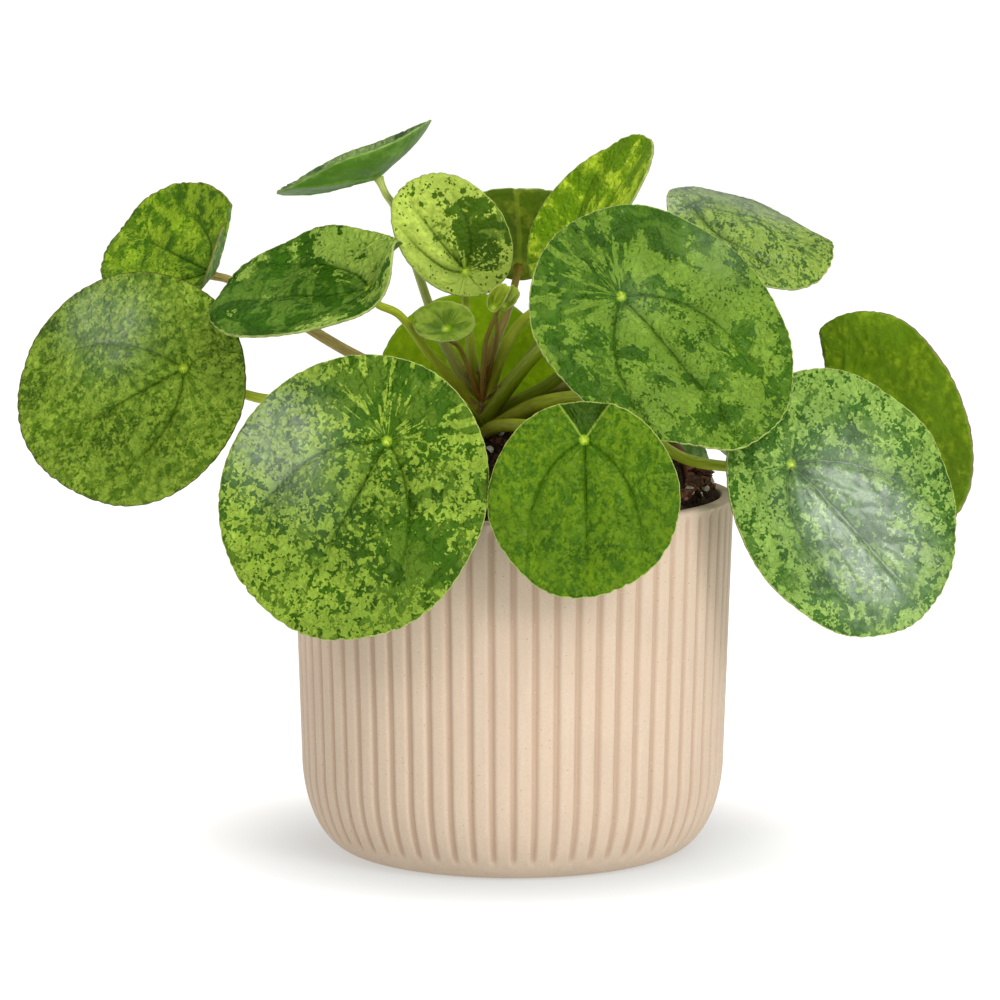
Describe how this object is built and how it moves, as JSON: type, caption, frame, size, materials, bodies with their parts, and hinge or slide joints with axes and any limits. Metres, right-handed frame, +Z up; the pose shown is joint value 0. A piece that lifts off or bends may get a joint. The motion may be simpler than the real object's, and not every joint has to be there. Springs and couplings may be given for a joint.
{
  "type": "potted house plant",
  "caption": "Round-leaved pilea with mottled green blades on long stalks, growing in a nursery pot that stands in soil inside a ribbed beige stoneware cover pot.",
  "frame": {"origin": "centre of the cover pot's flat foot, on the surface that it stands on", "axes": "+Z up, +X to the viewer's right as in the picture, -Y towards the viewer; the leaves spread widest along X"},
  "size_m": [0.3042, 0.1933, 0.2308],
  "materials": {
    "stoneware": "matte",
    "nursery_plastic": "satin",
    "soil": "matte",
    "stem": "matte",
    "petiole": "satin",
    "leaf": "satin"
  },
  "bodies": {
    "root": {"cover_pot": "stoneware", "nursery_pot": "nursery_plastic", "potting_soil": "soil", "filler_soil": "soil", "main_stem": "stem", "petiole_far_left": "petiole", "leaf_far_left": "leaf", "petiole_upper_left": "petiole", "leaf_upper_left": "leaf", "petiole_mid_left": "petiole", "leaf_mid_left": "leaf", "petiole_top_left": "petiole", "leaf_top_left": "leaf", "petiole_upper_middle": "petiole", "leaf_upper_middle": "leaf", "petiole_front_left": "petiole", "leaf_front_left": "leaf", "petiole_front_middle": "petiole", "leaf_front_middle": "leaf", "petiole_upper_right": "petiole", "leaf_upper_right": "leaf", "petiole_top_right": "petiole", "leaf_top_right": "leaf", "petiole_back_top": "petiole", "leaf_back_top": "leaf", "petiole_far_upper_right": "petiole", "leaf_far_upper_right": "leaf", "petiole_far_right": "petiole", "leaf_far_right": "leaf", "petiole_front_right": "petiole", "leaf_front_right": "leaf", "petiole_back_middle": "petiole", "leaf_back_middle": "leaf", "petiole_young_left": "petiole", "leaf_young_left": "leaf", "petiole_young_middle": "petiole", "leaf_young_middle": "leaf", "petiole_young_right": "petiole", "leaf_young_right": "leaf", "petiole_rear_top": "petiole", "leaf_rear_top": "leaf", "petiole_rear_left": "petiole", "leaf_rear_left": "leaf", "petiole_rear_right": "petiole", "leaf_rear_right": "leaf", "petiole_rear_side": "petiole", "leaf_rear_side": "leaf"}
  },
  "joints": []
}
